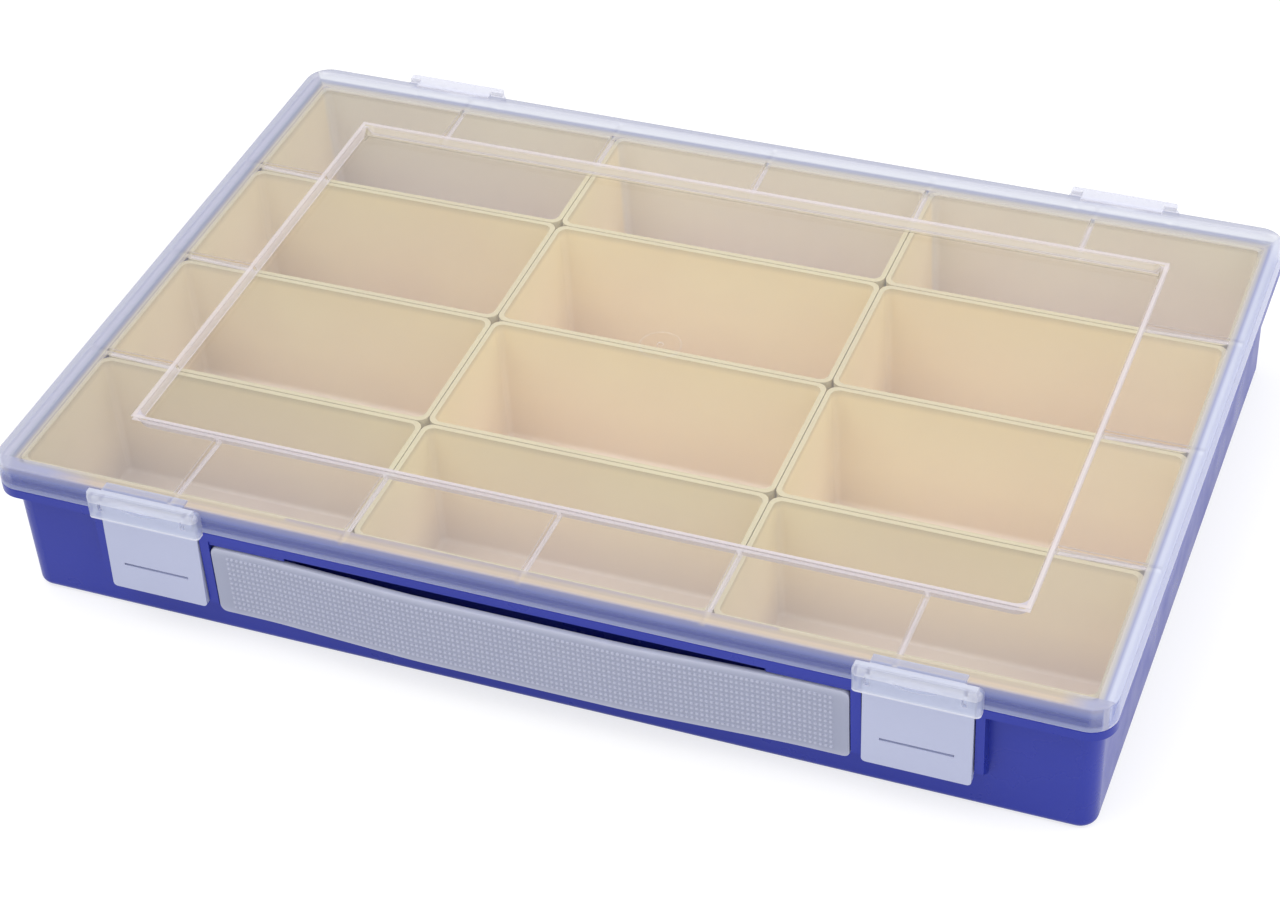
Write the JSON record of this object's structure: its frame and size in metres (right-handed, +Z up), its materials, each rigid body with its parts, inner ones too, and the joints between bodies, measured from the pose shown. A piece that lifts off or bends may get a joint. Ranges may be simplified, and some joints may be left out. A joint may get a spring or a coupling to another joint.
{
  "type": "compartment storage box",
  "caption": "Shallow compartment storage box for small parts, with a clear hinged lid, front latches, loose open bins in a tray and a flexible strap handle.",
  "frame": {"origin": "centre of the box on the surface that it rests on", "axes": "+X to the box's right as seen from the front, +Y to the back, where the hinge clips are, +Z up; the latches and the strap are on -Y"},
  "size_m": [0.34, 0.2334, 0.0523],
  "materials": {
    "base_blue": "glossy",
    "lid_clear": "glossy",
    "clip_grey": "satin",
    "strap_grey": "satin",
    "bin_cream": "satin"
  },
  "bodies": {
    "base": {"base": "base_blue", "hinge_clip_left": "clip_grey", "hinge_clip_right": "clip_grey", "strap_end_left": "strap_grey", "bin_front_left": "bin_cream", "bin_front_centre": "bin_cream", "bin_front_right": "bin_cream", "bin_mid_front_left": "bin_cream", "bin_mid_front_centre": "bin_cream", "bin_mid_front_right": "bin_cream", "bin_mid_back_left": "bin_cream", "bin_mid_back_centre": "bin_cream", "bin_mid_back_right": "bin_cream", "bin_back_left": "bin_cream", "bin_back_centre": "bin_cream", "bin_back_right": "bin_cream"},
    "lid": {"lid": "lid_clear"},
    "latch_left": {"latch_left": "clip_grey"},
    "latch_right": {"latch_right": "clip_grey"},
    "strap_side_left": {"strap_side_left": "strap_grey"},
    "strap_grip": {"strap_grip": "strap_grey"},
    "strap_side_right": {"strap_side_right": "strap_grey"},
    "strap_end_right": {"strap_end_right": "strap_grey"}
  },
  "joints": [
    {"name": "lid_hinge", "type": "hinge", "parent": "base", "child": "lid", "pos_m": [0, 0.1134, 0.045], "axis": [-1, 0, 0], "range_deg": [0, 100]},
    {"name": "latch_left_hinge", "type": "hinge", "parent": "lid", "child": "latch_left", "pos_m": [-0.117, -0.1134, 0.045], "axis": [-1, 0, 0], "range_deg": [0, 32]},
    {"name": "latch_right_hinge", "type": "hinge", "parent": "lid", "child": "latch_right", "pos_m": [0.117, -0.1134, 0.045], "axis": [-1, 0, 0], "range_deg": [0, 32]},
    {"name": "strap_bend_left_outer", "type": "hinge", "parent": "base", "child": "strap_side_left", "pos_m": [-0.08, -0.112, 0.02495], "axis": [0, 0, -1], "range_deg": [0, 22]},
    {"name": "strap_bend_left_inner", "type": "hinge", "parent": "strap_side_left", "child": "strap_grip", "pos_m": [-0.034, -0.1142, 0.02495], "axis": [0, 0, 1], "range_deg": [0, 22]},
    {"name": "strap_bend_right_inner", "type": "hinge", "parent": "strap_grip", "child": "strap_side_right", "pos_m": [0.034, -0.1142, 0.02495], "axis": [0, 0, 1], "range_deg": [0, 22]},
    {"name": "strap_bend_right_outer", "type": "hinge", "parent": "strap_side_right", "child": "strap_end_right", "pos_m": [0.08, -0.112, 0.02495], "axis": [0, 0, -1], "range_deg": [0, 22]}
  ],
  "couplings": [
    {"joint": "strap_bend_left_inner", "follows": "strap_bend_left_outer", "ratio": 1},
    {"joint": "strap_bend_right_inner", "follows": "strap_bend_left_outer", "ratio": 1},
    {"joint": "strap_bend_right_outer", "follows": "strap_bend_left_outer", "ratio": 1}
  ]
}
